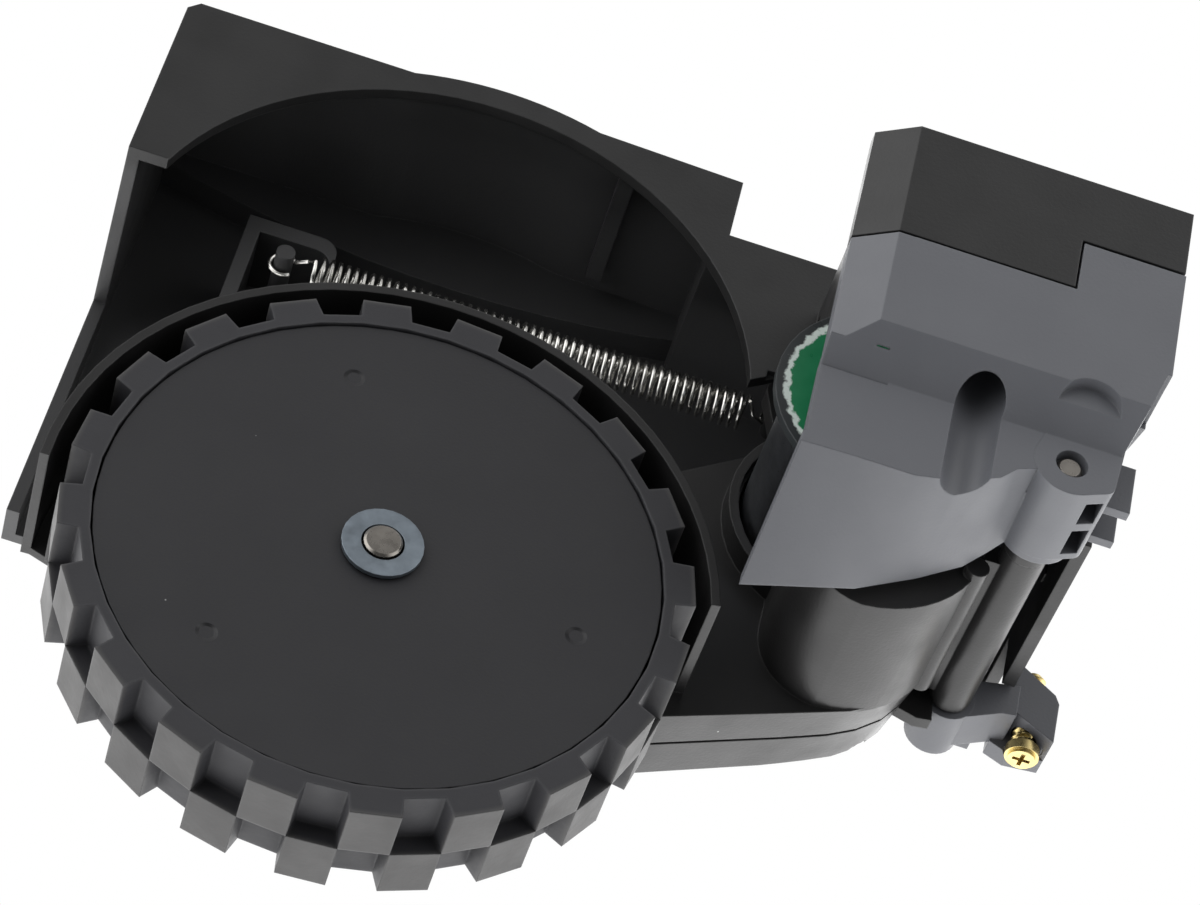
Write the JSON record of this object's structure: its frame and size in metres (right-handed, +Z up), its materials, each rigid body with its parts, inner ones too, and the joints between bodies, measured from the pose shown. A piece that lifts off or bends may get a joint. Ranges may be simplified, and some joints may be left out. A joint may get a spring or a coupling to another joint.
{
  "type": "robot vacuum wheel module",
  "caption": "Sprung drive wheel module: treaded wheel on a swing arm with motor, gear train and extension spring, in a moulded housing with a pivot bracket.",
  "frame": {"origin": "point on the housing's flat back, in line with the wheel's axle when the wheel is pushed fully up", "axes": "+Y out of the housing's back, towards the middle of the robot; +X from the wheel towards the arm's pivot; +Z up in the robot"},
  "size_m": [0.1284, 0.0656, 0.1203],
  "materials": {
    "housing_plastic": "fine satin moulding, black",
    "arm_plastic": "satin moulding, black",
    "bracket_plastic": "satin moulding, blue grey",
    "wheel_plastic": "fine spark texture, dark grey",
    "tyre_rubber": "matt rubber, dark grey",
    "bright_steel": "bright drawn",
    "zinc_steel": "zinc plated, dull",
    "dark_steel": "blackened screw",
    "spring_steel": "bright nickel-plated wire",
    "yellow_zinc": "yellow zinc plated",
    "bronze": "oiled sintered bronze",
    "board_green": "green solder mask",
    "magnet_ferrite": "bonded ferrite",
    "gear_plastic": "white acetal"
  },
  "bodies": {
    "housing": {"housing": "housing_plastic", "pivot_bracket": "bracket_plastic", "bracket_screw": "dark_steel", "lug_screw": "yellow_zinc", "pivot_pin": "bright_steel", "extension_spring": "spring_steel"},
    "arm": {"arm_shell": "arm_plastic", "gearbox_cover": "arm_plastic", "cover_screw_lower": "dark_steel", "cover_screw_pivot": "dark_steel", "outer_shaft_bush": "bronze", "inner_shaft_bush": "bronze", "first_gear_pin": "bright_steel", "second_gear_pin": "bright_steel", "third_gear_pin": "bright_steel", "motor_can": "zinc_steel", "encoder_board": "board_green"},
    "motor_rotor": {"motor_shaft": "bright_steel", "motor_rear_shaft": "bright_steel", "motor_pinion": "yellow_zinc", "encoder_magnet": "magnet_ferrite"},
    "first_gear": {"first_gear": "gear_plastic"},
    "second_gear": {"second_gear": "gear_plastic"},
    "third_gear": {"third_gear": "gear_plastic"},
    "wheel": {"wheel_disc": "wheel_plastic", "tyre": "tyre_rubber", "hub_washer": "zinc_steel", "wheel_shaft": "bright_steel", "output_gear": "gear_plastic"}
  },
  "joints": [
    {"name": "arm_lift", "type": "hinge", "parent": "housing", "child": "arm", "pos_m": [0.07202, -0.041, -0.01782], "axis": [0, 1, 0], "range_deg": [0, 33], "stiffness_Nm_per_rad": 0.6, "springref_deg": -40.11, "deforming": ["extension_spring"]},
    {"name": "wheel_spin", "type": "hinge", "parent": "arm", "child": "wheel", "pos_m": [0.00202, -0.041, -0.04242], "axis": [0, 1, 0], "continuous": true},
    {"name": "third_gear_spin", "type": "hinge", "parent": "arm", "child": "third_gear", "pos_m": [0.01511, -0.041, -0.03434], "axis": [0, 1, 0], "continuous": true},
    {"name": "second_gear_spin", "type": "hinge", "parent": "arm", "child": "second_gear", "pos_m": [0.0291, -0.041, -0.02494], "axis": [0, 1, 0], "continuous": true},
    {"name": "first_gear_spin", "type": "hinge", "parent": "arm", "child": "first_gear", "pos_m": [0.04308, -0.041, -0.01686], "axis": [0, 1, 0], "continuous": true},
    {"name": "motor_spin", "type": "hinge", "parent": "arm", "child": "motor_rotor", "pos_m": [0.05342, -0.041, -0.00592], "axis": [0, 1, 0], "continuous": true}
  ],
  "couplings": [
    {"joint": "third_gear_spin", "follows": "wheel_spin", "ratio": -1.6154},
    {"joint": "second_gear_spin", "follows": "wheel_spin", "ratio": 4.0385},
    {"joint": "first_gear_spin", "follows": "wheel_spin", "ratio": -11.442},
    {"joint": "motor_spin", "follows": "wheel_spin", "ratio": 45.769}
  ]
}
